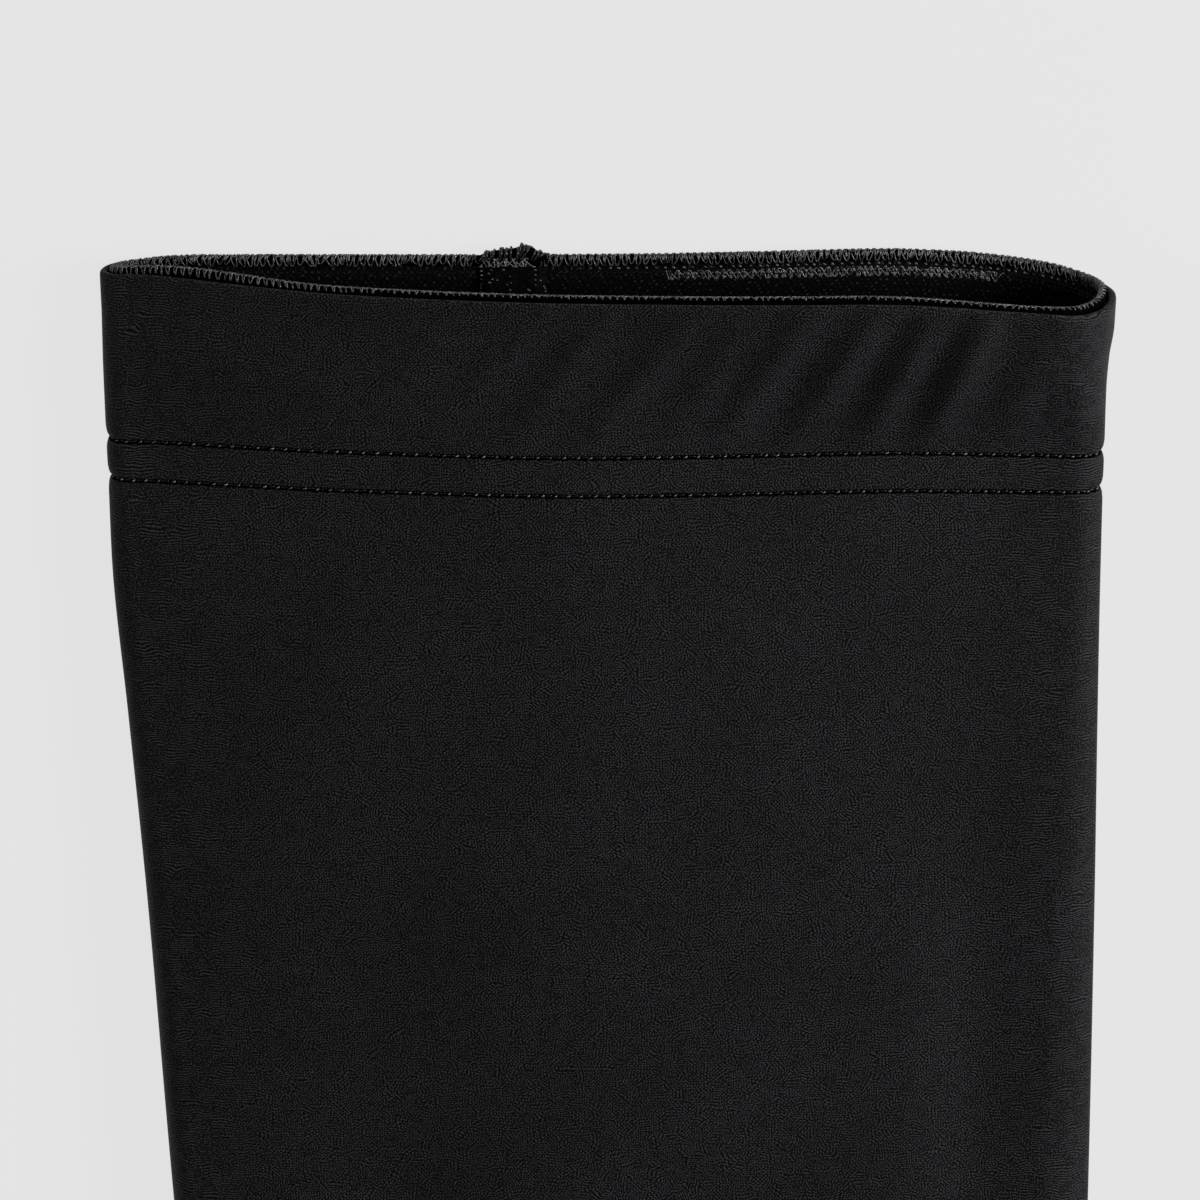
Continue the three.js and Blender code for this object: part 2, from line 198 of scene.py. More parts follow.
# Cross-sections down the hem, then down the body: at is a share of that length. taper and shift go
# from the rim's width and middle (0) to the wrist's (1), and gape from the body's height (0) to the
# mouth's (1). The tips and front0 to front4, which cross the front from left to right, are shares of
# the height, and round scales the right fold's reach.
Section = namedtuple(
    "Section", "at taper shift gape left_tip right_tip front0 front1 front2 front3 front4 round"
)
HEM_SECTIONS = [
    Section(0, 0, 0, 1, 0.16, 0.47, 0.29, 0.73, 0.91, 0.965, 0.95, 1),
    Section(0.16, 0.005, 0, 0.7, 0.18, 0.49, 0.34, 0.75, 0.92, 0.96, 0.95, 0.95),
    Section(0.31, 0.019, -0.02, 0.46, 0.21, 0.53, 0.4, 0.78, 0.935, 0.96, 0.955, 0.85),
    Section(0.48, 0.027, -0.03, 0.22, 0.25, 0.6, 0.46, 0.82, 0.955, 0.96, 0.96, 0.65),
    Section(0.8, 0.032, -0.025, 0, 0.28, 0.64, 0.48, 0.82, 0.99, 0.94, 0.87, 0.55),
    Section(1, 0.038, -0.022, 0, 0.3, 0.65, 0.5, 0.83, 1, 0.94, 0.87, 0.55),
]
BODY_SECTIONS = [
    Section(0.03, 0.043, -0.015, 0, 0.3, 0.65, 0.5, 0.84, 1, 0.94, 0.87, 0.55),
    Section(0.09, 0.08, 0.055, 0, 0.31, 0.65, 0.52, 0.84, 1, 0.95, 0.87, 0.65),
    Section(0.16, 0.12, 0.14, 0, 0.31, 0.64, 0.54, 0.84, 1, 0.96, 0.88, 0.8),
    Section(0.28, 0.18, 0.25, 0, 0.31, 0.63, 0.56, 0.84, 0.99, 0.97, 0.9, 1),
    Section(0.46, 0.31, 0.42, -0.1, 0.32, 0.62, 0.6, 0.88, 1, 0.98, 0.93, 1),
    Section(0.65, 0.54, 0.64, -0.2, 0.35, 0.6, 0.66, 0.92, 1, 0.99, 0.93, 1),
    Section(0.84, 0.82, 0.86, -0.22, 0.38, 0.58, 0.72, 0.95, 1, 0.98, 0.92, 1),
    Section(0.95, 0.96, 0.97, -0.12, 0.38, 0.58, 0.72, 0.95, 1, 0.98, 0.92, 1),
    Section(1, 1, 1, -0.08, 0.38, 0.58, 0.72, 0.95, 1, 0.98, 0.92, 1),
]

# The hem's wrinkles: places across (-1 to 1), millimetres across for each one down, and heights
Wrinkle = namedtuple("Wrinkle", "across slant height")
HEM_WRINKLES = [
    Wrinkle(-0.4, -0.9, 0.16),
    Wrinkle(-0.24, -0.8, 0.2),
    Wrinkle(-0.094, -0.6, 0.4),
    Wrinkle(0.063, -0.7, 0.5),
    Wrinkle(0.197, -0.45, 0.32),
    Wrinkle(0.305, -0.6, 0.58),
    Wrinkle(0.445, -0.56, 0.8),
    Wrinkle(0.572, -0.45, 0.9),
    Wrinkle(0.686, -0.37, 1.1),
    Wrinkle(0.824, -0.35, 0.3),
]

# The front's lengthwise hollows, all in shares: across the front, down the sleeve, and of the height
Hollow = namedtuple("Hollow", "across start full width depth")
FRONT_HOLLOWS = [
    Hollow(0.25, 0.1, 0.35, 0.085, 0.085),
    Hollow(0.875, 0.08, 0.33, 0.05, 0.08),
]

# The fabric's edges: distances from the edge, and shares of the wall's thickness
EdgeRow = namedtuple("EdgeRow", "off share")
RIM_FOLD = [
    EdgeRow(0.5, 1),
    EdgeRow(0.25, 0.93),
    EdgeRow(0.07, 0.75),
    EdgeRow(0, 0.5),
    EdgeRow(0.07, 0.25),
    EdgeRow(0.25, 0.07),
]
WRIST_EDGE = [EdgeRow(0.3, 0), EdgeRow(0, 0.5), EdgeRow(0.3, 1)]

# From the rim's inside, over its top, to its outer face: distances down, and depths from the band's face
OverEdge = namedtuple("OverEdge", "share down depth")
OVER_EDGE = [
    OverEdge(0, 0.32, LOCK_THICKNESS),
    OverEdge(0.5, -0.72, LOCK_THICKNESS),
    OverEdge(0.68, -1.02, LOCK_THICKNESS - 0.26),
    OverEdge(0.84, -1.03, 0.3),
    OverEdge(0.93, -0.92, 0.08),
    OverEdge(1, -0.62, 0.02),
    OverEdge(1.4, -0.05, 0),
]

# How far the join stands above the overlocked edge, from one side of it to the other
JoinRise = namedtuple("JoinRise", "across height")
JOIN_RISE = [
    JoinRise(-1, 0.1),
    JoinRise(-0.9, 0.3),
    JoinRise(-0.6, 0.7),
    JoinRise(-0.35, 0.88),
    JoinRise(0, 1.05),
    JoinRise(0.25, 1.3),
    JoinRise(0.6, 1.12),
    JoinRise(0.72, 0.7),
    JoinRise(0.92, 0.35),
    JoinRise(1, 0.05),
]

# The seam allowance's section, in shares of its width and thickness
SEAM_SECTION = [(-0.5, 0), (0.5, 0), (0.46, 0.6), (0.36, 0.85), (-0.36, 0.85), (-0.46, 0.6)]

# A looper's swing: turn rounds its loops, lean slants them, and wander is how unevenly they stand,
# all in shares of the pitch
Swing = namedtuple("Swing", "pitch turn lean wander")

# A short stitch: its length, slant and radius, and how far its ends dip, in millimetres
Stitch = namedtuple("Stitch", "length slant dip radius")
RISING_STITCH = Stitch(0.46, 0.16, 0.2, 0.11)
RUNNING_STITCH = Stitch(0.95, 0.06, 0.1, 0.1)
WRIST_STITCH = Stitch(1, 0.2, 0.2, 0.12)
NEEDLE_STITCH = Stitch(0.32, 0.12, 0.1, 0.12)
BAND_DOT = Stitch(0.5, 0.05, 0.1, 0.09)
JOIN_SPECK = Stitch(0.28, 0.1, 0.1, 0.1)


def smoothstep(value, low, high):
    share = np.clip((value - low) / (high - low), 0, 1)
    return share * share * (3 - 2 * share)


def smooth_curve(places, values):
    """A smooth curve through a table's column that never overshoots its rows."""
    places = np.asarray(places, float)
    values = np.asarray(values, float)
    steps = np.diff(values) / np.diff(places)
    product = steps[:-1] * steps[1:]
    total = np.where(product > 0, steps[:-1] + steps[1:], 1)
    slopes = np.concatenate(
        [steps[:1], np.where(product > 0, 2 * product / total, 0), steps[-1:]]
    )

    def curve(at):
        p = np.clip(at, places[0], places[-1])
        k = np.clip(np.searchsorted(places, p, side="right") - 1, 0, len(places) - 2)
        span = places[k + 1] - places[k]
        t = (p - places[k]) / span
        rise = values[k + 1] - values[k]
        m0, m1 = slopes[k] * span, slopes[k + 1] * span
        return values[k] + t * (m0 + t * (3 * rise - 2 * m0 - m1 + t * (m0 + m1 - 2 * rise)))

    return curve


section_downs = [row.at * HEM_DEPTH for row in HEM_SECTIONS]
section_downs += [HEM_DEPTH + row.at * (SLEEVE_LENGTH - HEM_DEPTH) for row in BODY_SECTIONS]
column = {
    name: smooth_curve(section_downs, [getattr(row, name) for row in HEM_SECTIONS + BODY_SECTIONS])
    for name in Section._fields[1:]
}
join_rise = smooth_curve([row.across for row in JOIN_RISE], [row.height for row in JOIN_RISE])


def fold_round(distance, reach):
    """Rounded end of a side fold: 0 at the tip and 1 from the given reach inwards."""
    return np.sqrt(1 - (1 - np.clip(distance / reach, 0, 1)) ** 2)


def hollow_depth(down, share):
    along = down / SLEEVE_LENGTH
    total = 0
    for hollow in FRONT_HOLLOWS:
        grown = smoothstep(along, hollow.start, hollow.full)
        off = (share - hollow.across) / hollow.width
        total = total + hollow.depth * BODY_HEIGHT * grown * np.exp(-off * off)
    return total


def row_mark(down, width):
    """1 on the nearer row of stitches, and less within the given width of it."""
    off = min(abs(down - row) for row in STITCH_ROWS)
    return math.exp(-((off / width) ** 2))


def outline_side(down, front):
    """One side of the outline: the front from left to right, or the back from right to left."""
    half = (RIM_WIDTH + (WRIST_WIDTH - RIM_WIDTH) * column["taper"](down)) / 2
    half -= PUCKER_DEPTH * row_mark(down, PUCKER_WIDTH)
    height = BODY_HEIGHT + (MOUTH_HEIGHT - BODY_HEIGHT) * column["gape"](down)
    left_tip = column["left_tip"](down) * height
    right_tip = column["right_tip"](down) * height
    turn = np.cos(np.linspace(0, np.pi, OUTLINE_SAMPLES + 1))
    x = -half * turn if front else half * turn
    if front:
        right_reach = RIGHT_FOLD_REACH * column["round"](down)
        between_folds = 2 * half - LEFT_FOLD_REACH - right_reach
        share = np.clip((half + x - LEFT_FOLD_REACH) / between_folds, 0, 1)
        nodes = [column[f"front{i}"](down) for i in range(5)]
        top = smooth_curve(np.arange(5) / 4, nodes)(share) * height
        top = top - hollow_depth(down, (half + x) / (2 * half))
        z = (
            top
            - (top - left_tip) * (1 - fold_round(half + x, LEFT_FOLD_REACH))
            - (top - right_tip) * (1 - fold_round(half - x, right_reach))
        )
    else:
        z = left_tip * (1 - fold_round(half + x, LEFT_FOLD_UNDER))
        z = z + right_tip * (1 - fold_round(half - x, RIGHT_FOLD_UNDER))
    return np.stack([x + WRIST_SHIFT * column["shift"](down), z], axis=1)


def divide(points, columns):
    """Places and inward normals of a side's columns, closer together where it bends."""
    steps = np.diff(points, axis=0)
    lengths = np.linalg.norm(steps, axis=1)
    angles = np.unwrap(np.arctan2(steps[:, 1], steps[:, 0]))
    bends = np.abs(np.diff(angles, prepend=angles[:1]))
    totals = np.concatenate([[0], np.cumsum(lengths + FOLD_WEIGHT * bends)])
    wanted = totals[-1] * np.arange(columns) / columns
    at = np.stack([np.interp(wanted, totals, points[:, i]) for i in (0, 1)], axis=1)
    along = np.gradient(points, axis=0)
    along = np.stack([np.interp(wanted, totals, along[:, i]) for i in (0, 1)], axis=1)
    along /= np.linalg.norm(along, axis=1, keepdims=True)
    return at, np.stack([along[:, 1], -along[:, 0]], axis=1)


Outline = namedtuple("Outline", "at inward around length seam")


@lru_cache(maxsize=None)
def outline_at(level):
    level = min(max(level, 0), SLEEVE_LENGTH)
    front, front_in = divide(outline_side(level, True), FRONT_COLUMNS)
    back, back_in = divide(outline_side(level, False), BACK_COLUMNS)
    front_in[0] = (1, 0)
    back_in[0] = (-1, 0)
    at = np.concatenate([front, back])
    inward = np.concatenate([front_in, back_in])
    lengths = np.linalg.norm(np.roll(at, -1, axis=0) - at, axis=1)
    around = np.concatenate([[0], np.cumsum(lengths)[:-1]])
    middle = WRIST_SHIFT * column["shift"](level)
    around -= np.interp(middle, front[:, 0], around[:FRONT_COLUMNS])
    seam_x = JOIN_PLACE + middle
    seam = np.interp(-seam_x, -back[:, 0], around[FRONT_COLUMNS:])
    return Outline(at, inward, around, lengths.sum(), seam)


def outline(down):
    """The sleeve's outer cross-section: around counts millimetres from the front's middle to the right."""
    return outline_at(round(float(down), 4))


def wrinkle_lift(x, down):
    slack = math.sin(math.pi * min(max(down / STITCH_ROWS[0], 0), 1) ** 0.8) ** 0.8
    lift = 0
    for wrinkle in HEM_WRINKLES:
        centre = wrinkle.across * RIM_WIDTH / 2 + wrinkle.slant * (down - STITCH_ROWS[0] / 2)
        off = (x - centre) / WRINKLE_WIDTH
        lift = lift + WRINKLE_HEIGHT * wrinkle.height * slack * np.exp(-off * off)
    return lift


body_low, body_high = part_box("sleeve_body")
frame_shift = np.array(
    [(body_low.x + body_high.x) / 2 / MM, body_low.y / MM + SLEEVE_LENGTH / 2, body_low.z / MM]
)


def to_frame(x, z, down):
    """Points of the row frame, in metres, from places across, heights and distances down from the rim."""
    across = x / (RIM_WIDTH / 2)
    dip = (
        RIM_DIP_RIGHT * smoothstep(across, 0.5, 1)
        + RIM_DROP_RIGHT * smoothstep(across, 0.85, 1)
        + RIM_DIP_LEFT * smoothstep(-across, 0.86, 1)
    )
    reach = (
        RIM_LEAN
        + RIM_LEAN_LEFT * smoothstep(-across, 0, 1)
        + RIM_LEAN_RIGHT * smoothstep(across, 0, 1)
    )
    lean = reach * (1 - z / MOUTH_HEIGHT)
    skew = RIM_RISE * across / 2 * (1 - smoothstep(down, HEM_DEPTH, SLEEVE_LENGTH / 2))
    bend = (lean - dip) * (1 - smoothstep(down, 0, BEND_DEPTH))
    y = SLEEVE_LENGTH / 2 - down + skew + bend
    return (np.stack(np.broadcast_arrays(x, y, z), axis=-1) + frame_shift) * MM


def settle(x, z, down):
    """How much deeper the inner pieces sit at a place of the outline."""
    across = x / (RIM_WIDTH / 2)
    height = z / MOUTH_HEIGHT
    left = SETTLE_LEFT * smoothstep(-across, 0.8, 1)
    front = SETTLE_FRONT * smoothstep(height, 0.35, 0.6) * smoothstep(1 - np.abs(across), 0, 0.2)
    right = SETTLE_RIGHT * smoothstep(height, 0.35, 0.8) * smoothstep(across, 0.45, 0.8)
    return (left + front + right) * (1 - smoothstep(down, 0, BAND_DEPTH))


def settled(at, next_at, down):
    """Points of one cross-section moved along to where they settle, and how far down that is."""
    deeper = settle(at[..., 0], at[..., 1], down)
    return at + (next_at - at) * deeper[..., None], down + deeper


def ring(down, depth, dressed=False):
    """A row of the sleeve's columns at one distance down and one depth into the wall."""
    spot = outline(down)
    inset = np.full(len(spot.at), float(depth))
    if dressed:
        upward = np.clip(-spot.inward[:, 1], 0, 1)
        inset += GROOVE_DEPTH * row_mark(down, GROOVE_WIDTH) * max(1 - depth / WALL, 0)
        inset -= upward * wrinkle_lift(spot.at[:, 0], down)
    at = spot.at + spot.inward * inset[:, None]
    if depth > WALL:
        below = outline(down + 1)
        at, down = settled(at, below.at + below.inward * inset[:, None], down)
    return to_frame(at[:, 0], at[:, 1], down)


def place(around, down, depth, level=0):
    """Points at distances around, down and into the wall, on the cross-section at one level."""
    spot, below = outline(level), outline(level + 1)
    around = np.mod(np.asarray(around, float) - spot.around[0], spot.length) + spot.around[0]
    columns = np.arange(len(spot.around) + 1)
    turn = np.interp(around, np.append(spot.around, spot.around[0] + spot.length), columns)
    depth = np.asarray(depth, float)

    def section(outline_there):
        x, z, inward_x, inward_z = (
            np.interp(turn, columns, np.append(values, values[0]))
            for values in (*outline_there.at.T, *outline_there.inward.T)
        )
        return np.stack(np.broadcast_arrays(x + inward_x * depth, z + inward_z * depth), axis=-1)

    at = section(spot)
    inner = np.where(depth > WALL, 1.0, 0.0)
    at, settled_down = settled(at, at + (section(below) - at) * inner[..., None], down)
    return to_frame(at[..., 0], at[..., 1], down + (settled_down - down) * inner)


def surface_normals(around, level=0):
    """Outward normals of the sleeve at distances around one cross-section."""
    out = place(around, level, 0.0, level) - place(around, level, 1.0, level)
    return out / np.linalg.norm(out, axis=-1, keepdims=True)


def back_around(x):
    """The distance around the rim of a place across its back."""
    spot = outline(0)
    return float(np.interp(-x, -spot.at[FRONT_COLUMNS:, 0], spot.around[FRONT_COLUMNS:]))


def join_around(share):
    """The distance around the rim of a place across the join, from -1 to 1."""
    return outline(0).seam - np.asarray(share) * JOIN_WIDTH / 2


def rim_span():
    """The stretch of the rim between the two sides of the join, in millimetres around."""
    spot = outline(0)
    clear = JOIN_WIDTH / 2
    return spot.seam + clear - spot.length, spot.seam - clear


def new_object(name, points, faces, material, uv=None):
    mesh = bpy.data.meshes.new(name)
    mesh.from_pydata(np.asarray(points).tolist(), [], faces)
    if uv is not None:
        layer = mesh.uv_layers.new(name="knit")
        layer.data.foreach_set("uv", np.asarray(uv, np.float32).ravel())
    mesh.polygons.foreach_set("use_smooth", [True] * len(mesh.polygons))
    mesh.materials.append(material)
    piece = bpy.data.objects.new(name, mesh)
    bpy.context.scene.collection.objects.link(piece)
    return piece


def ring_wall(name, profile, material, dressed=False):
    """A closed wall round the sleeve, from pairs of distance down and depth. Its map is in millimetres."""
    rows = np.stack([ring(down, depth, dressed) for down, depth in profile])
    height, width = rows.shape[:2]
    spots = [outline(down) for down, _ in profile]
    across = np.stack([
        np.where(spot.around > spot.seam, spot.around - spot.length, spot.around) for spot in spots
    ])
    lengths = np.array([spot.length for spot in spots])
    downs = np.array([down for down, _ in profile])
    i = np.arange(height)[:, None]
    j = np.arange(width)[None, :]
    i2, j2 = (i + 1) % height, (j + 1) % width
    corners = [(i, j), (i, j2), (i2, j2), (i2, j)]
    quads = np.stack([np.broadcast_to(a * width + b, (height, width)) for a, b in corners], -1)
    u = np.stack([np.broadcast_to(across[a, b], (height, width)) for a, b in corners], -1)
    v = np.stack([np.broadcast_to(downs[a], (height, width)) for a, _ in corners], -1)
    wrap = u[..., :1] - u > lengths[:, None, None] / 2
    u = np.where(wrap, u + lengths[:, None, None], u)
    uv = np.stack([u, v], -1)[:, :, ::-1].reshape(-1, 2)
    faces = quads.reshape(-1, 4)[:, ::-1].tolist()
    return new_object(name, rows.reshape(-1, 3), faces, material, uv)


def tubes(name, paths, normals, radii, material, sides=6):
    """Threads along equally long paths (count, points, 3), in metres, each a closed tube."""
    paths = np.asarray(paths, float)
    count, size = paths.shape[:2]
    along = np.gradient(paths, axis=1)
    along /= np.linalg.norm(along, axis=2, keepdims=True)
    side = np.cross(along, normals)
    side /= np.linalg.norm(side, axis=2, keepdims=True)
    lift = np.cross(side, along)
    radii = np.broadcast_to(np.asarray(radii, float), (count, size)).copy()
    radii[:, (0, -1)] *= 0.5
    turn = np.arange(sides) * 2 * np.pi / sides
    points = (
        paths[:, :, None]
        + radii[:, :, None, None]
        * (np.cos(turn)[:, None] * side[:, :, None] + np.sin(turn)[:, None] * lift[:, :, None])
    )
    n, i, j = np.meshgrid(np.arange(count), np.arange(size - 1), np.arange(sides), indexing="ij")
    start = (n * size + i) * sides
    j2 = (j + 1) % sides
    quads = np.stack([start + j, start + j2, start + sides + j2, start + sides + j], -1)
    faces = quads.reshape(-1, 4).tolist()
    for first in range(0, count * size * sides, size * sides):
        last = first + (size - 1) * sides
        faces.append(list(range(first, first + sides))[::-1])
        faces.append(list(range(last, last + sides)))
    return new_object(name, points.reshape(-1, 3), faces, material)


def skin(name, loops, material):
    """A solid skinned through a row of closed loops, and capped at both ends."""
    count, size = loops.shape[:2]
    faces = [
        [i * size + j, i * size + (j + 1) % size, (i + 1) * size + (j + 1) % size, (i + 1) * size + j]
        for i in range(count - 1) for j in range(size)
    ]
    last = (count - 1) * size
    faces.append(list(range(size))[::-1])
    faces.append([last + k for k in range(size)])
    return new_object(name, loops.reshape(-1, 3), faces, material)


class Graph:
    """A material's nodes, made with short calls that return their output sockets."""

    def __init__(self, name):
        self.material = bpy.data.materials.new(name)
        self.material.use_nodes = True
        self.tree = self.material.node_tree
        self.tree.nodes.clear()
        self.shader = self.tree.nodes.new("ShaderNodeBsdfPrincipled")
        output = self.tree.nodes.new("ShaderNodeOutputMaterial")
        self.tree.links.new(self.shader.outputs["BSDF"], output.inputs["Surface"])

    def node(self, kind, **inputs):
        node = self.tree.nodes.new(kind)
        for name, value in inputs.items():
            self.feed(node.inputs[name.replace("_", " ")], value)
        return node

    def feed(self, socket, value):
        if isinstance(value, bpy.types.NodeSocket):
            self.tree.links.new(value, socket)
        else:
            socket.default_value = value

    def math(self, operation, *values):
        node = self.tree.nodes.new("ShaderNodeMath")
        node.operation = operation
        for socket, value in zip(node.inputs, values):
            self.feed(socket, value)
        return node.outputs[0]

    def scaled(self, colour, scale):
        node = self.tree.nodes.new("ShaderNodeVectorMath")
        node.operation = "SCALE"
        self.feed(node.inputs[0], colour)
        self.feed(node.inputs["Scale"], scale)
        return node.outputs[0]

    def spread(self, value, low, high, to_low=0.0, to_high=1.0):
        """The value mapped smoothly from one range to another, and held beyond it."""
        node = self.tree.nodes.new("ShaderNodeMapRange")
        node.interpolation_type = "SMOOTHSTEP"
        for socket, given in zip(node.inputs, (value, low, high, to_low, to_high)):
            self.feed(socket, given)
        return node.outputs[0]

    def ramp(self, value, stops):
        node = self.tree.nodes.new("ShaderNodeValToRGB")
        while len(node.color_ramp.elements) < len(stops):
            node.color_ramp.elements.new(0.5)
        for element, (position, colour) in zip(node.color_ramp.elements, stops):
            element.position = position
            element.color = (*colour, 1)
        self.feed(node.inputs[0], value)
        return node.outputs[0]

    def waves(self, value, pitch):
        return self.math("SINE", self.math("MULTIPLY", value, 2 * math.pi / pitch))

    def millimetres(self):
        """The knit's own map, in millimetres: across from the front's middle, and down from the rim."""
        node = self.tree.nodes.new("ShaderNodeUVMap")
        node.uv_map = "knit"
        split = self.node("ShaderNodeSeparateXYZ", Vector=node.outputs[0])
        return node.outputs[0], split.outputs[0], split.outputs[1]

    def noise(self, vector, scale, detail=1.0):
        node = self.node(
            "ShaderNodeTexNoise", Vector=vector, Scale=scale, Detail=detail, Roughness=0.5
        )
        return node.outputs[0]

    def bump(self, height, distance, strength):
        node = self.node("ShaderNodeBump", Height=height, Distance=distance, Strength=strength)
        self.feed(self.shader.inputs["Normal"], node.outputs[0])

    def set(self, **inputs):
        for name, value in inputs.items():
            self.feed(self.shader.inputs[name.replace("_", " ")], value)


def knit_height(g, vector, u, v):
    """Patches of fine lines over a grain: each patch's lines run their own way."""
    drift = g.math("MULTIPLY", g.noise(vector, DRIFT_SCALE), DRIFT_REACH)
    folds = g.spread(g.math("ABSOLUTE", u), FOLD_LOOK_START, FOLD_LOOK_FULL)
    height = g.math("MULTIPLY_ADD", g.noise(vector, GRAIN_SCALE, 0.0), GRAIN_HEIGHT, GRAIN_FOOT)
    for number, (across, along, edge) in enumerate(GRAIN):
        run = g.math("MULTIPLY_ADD", u, across, g.math("MULTIPLY_ADD", v, along, drift))
        spot = g.node("ShaderNodeCombineXYZ", X=u, Y=v, Z=PATCH_STEP * number)
        share = g.spread(g.noise(spot.outputs[0], PATCH_SCALE, 0.0), 0.42, 0.6, 0.15, 1.0)
        share = g.math("MULTIPLY", share, g.math("MULTIPLY_ADD", folds, edge - 1, 1.0))
        lines = g.math("MULTIPLY", g.waves(run, LINE_PITCH), share)
        height = g.math("MULTIPLY_ADD", lines, LINE_HEIGHT, height)
    return height


def knit_material():
    """Fine black jersey, a little worn in places, with painted shade that darkens it in the grooves of the
    rows of stitches.
    """
    g = Graph("black_knit")
    vector, u, v = g.millimetres()
    height = knit_height(g, vector, u, v)
    colour = g.ramp(height, [
        (0.36, (0.0001, 0.0001, 0.0001)),
        (0.5, (0.0038, 0.0038, 0.0044)),
        (0.66, (0.033, 0.033, 0.0375)),
    ])
    worn = g.spread(g.noise(vector, WORN_SCALE, 2.0), 0.3, 0.7, 0.9, 1.1)
    # Painted shade: in the stitch grooves the colour falls to 3 per cent, and the shine and sheen fall
    # with it.
    rows = [g.math("ABSOLUTE", g.math("SUBTRACT", v, row)) for row in STITCH_ROWS]
    painted_groove_shade = g.spread(g.math("MINIMUM", *rows), 0.2, 0.4, 0.03, 1.0)
    g.set(
        Base_Color=g.scaled(colour, g.math("MULTIPLY", worn, painted_groove_shade)),
        Roughness=0.62,
        Specular_IOR_Level=g.math("MULTIPLY", painted_groove_shade, 0.1),
        Sheen_Weight=g.math("MULTIPLY", painted_groove_shade, 0.035),
        Sheen_Roughness=0.35,
        Sheen_Tint=(0.9, 0.9, 1, 1),
    )
    g.bump(height, 0.00014, 0.7)
    return g.material


def elastic_material():
    """Dull black elastic with fine ribs round the sleeve."""
    g = Graph("black_elastic")
    vector, u, v = g.millimetres()
    ribs = g.waves(v, RIB_PITCH)
    beads = g.waves(u, BEAD_PITCH)
    grain = g.noise(vector, 2.2)
    height = g.math("ADD", g.math("MULTIPLY", g.math("MULTIPLY", ribs, beads), 0.25), grain)
    colour = g.ramp(height, [
        (0.45, (0.0004, 0.0004, 0.0004)),
        (0.72, (0.003, 0.003, 0.0032)),
        (0.95, (0.06, 0.06, 0.062)),
    ])
    g.set(Base_Color=colour, Roughness=0.8, Specular_IOR_Level=0.1)
    g.bump(height, 0.00015, 0.6)
    return g.material


def thread_material(name, light, dark, roughness, shine=0.5):
    """Twisted thread with painted light and shade: random spots lighter and darker along it stand in for
    its glints and for the shade between its strands.
    """
    g = Graph(name)
    coords = g.tree.nodes.new("ShaderNodeTexCoord")
    twist = g.noise(coords.outputs["Object"], 5200.0)
    strands = g.noise(coords.outputs["Object"], 1500.0)
    # Painted light and shade along the thread: its lighter spots are glints, and its darker ones are
    # shade.
    mixed = g.math("ADD", g.math("MULTIPLY", twist, 0.45), g.math("MULTIPLY", strands, 0.55))
    g.set(
        Base_Color=g.ramp(mixed, [(0.4, dark), (0.62, light)]),
        Roughness=roughness,
        Specular_IOR_Level=shine,
    )
    g.bump(mixed, 0.00006, 0.5)
    return g.material


knit = knit_material()
elastic = elastic_material()
thread = thread_material("black_thread", (0.11, 0.11, 0.114), (0.004, 0.004, 0.004), 0.3)
# Painted highlight: a lighter copy of the black thread, for the threads that face the light.
lit_thread = thread_material("painted_highlight_thread", (0.26, 0.26, 0.27), (0.01, 0.01, 0.01), 0.3)
# Painted glint: a lighter copy of the black thread, for stitches where they rise and catch the light.
glint = thread_material("painted_glint_thread", (0.2, 0.2, 0.2), (0.02, 0.02, 0.02), 0.34)
# Painted shade: a darker copy of the black thread, for the running stitches in their groove and the points
# sunk in the band; it is also the dark colour of the strands over the join.
shaded_thread = thread_material("painted_shade_thread", (0.008, 0.008, 0.0083), (0.001, 0.001, 0.001), 0.36)
joined = thread_material("joined_band", (0.006, 0.006, 0.0062), (0.0003, 0.0003, 0.0003), 0.85, 0.05)
# Near black: partly the edge's own black, partly painted shade, so that the gaps between the overlocking
# threads read as shaded.
core = thread_material("thread_core", (0.0012, 0.0012, 0.0012), (0.0004, 0.0004, 0.0004), 0.95, 0.02)


def stations(spans):
    """Distances down, from spans of (start, end, step)."""
    return np.concatenate([np.arange(start, end - step / 2, step) for start, end, step in spans])


def fabric():
    upper, lower = STITCH_ROWS
    near = GROOVE_REACH
    first = RIM_FOLD[0].off
    last = SLEEVE_LENGTH - first
    outer = stations([
        (first, 4 * first, first),
        (4 * first, upper - near, HEM_STEP),
        (upper - near, upper + near, GROOVE_STEP),
        (upper + near, lower - near, ROW_STEP),
        (lower - near, lower + near, GROOVE_STEP),
        (lower + near, lower + BELOW_HEM, BELOW_STEP),
        (lower + BELOW_HEM, last, BODY_STEP),
    ])
    inner = stations([(first, lower, INSIDE_HEM_STEP), (lower, last, INSIDE_STEP)])[::-1]
    profile = [(row.off, row.share * WALL) for row in RIM_FOLD]
    profile += [(down, 0) for down in outer]
    profile += [(SLEEVE_LENGTH - row.off, row.share * WALL) for row in WRIST_EDGE]
    profile += [(down, WALL) for down in inner]
    return ring_wall("sleeve_fabric", profile, knit, dressed=True)


def lining(name, rows, near, thickness, material):
    """A wall of one thickness inside the tube, from its first row to its last."""
    profile = [(down, near) for down in rows]
    profile += [(down, near + thickness) for down in rows[::-1]]
    return ring_wall(name, profile, material)


def band():
    rows = np.linspace(LOCK_HEIGHT - LOCK_PROUD + PIECE_GAP, BAND_DEPTH, BAND_ROWS)
    return lining("elastic_band", rows, BAND_FACE, BAND_THICKNESS, elastic)


def wrist_turn_in():
    start, end = SLEEVE_LENGTH - WRIST_HEM_DEPTH, SLEEVE_LENGTH - WRIST_HEM_INSET
    rows = np.linspace(start, end, WRIST_ROWS)
    return lining("wrist_turn_in", rows, WALL + PIECE_GAP, WRIST_HEM_THICKNESS, knit)


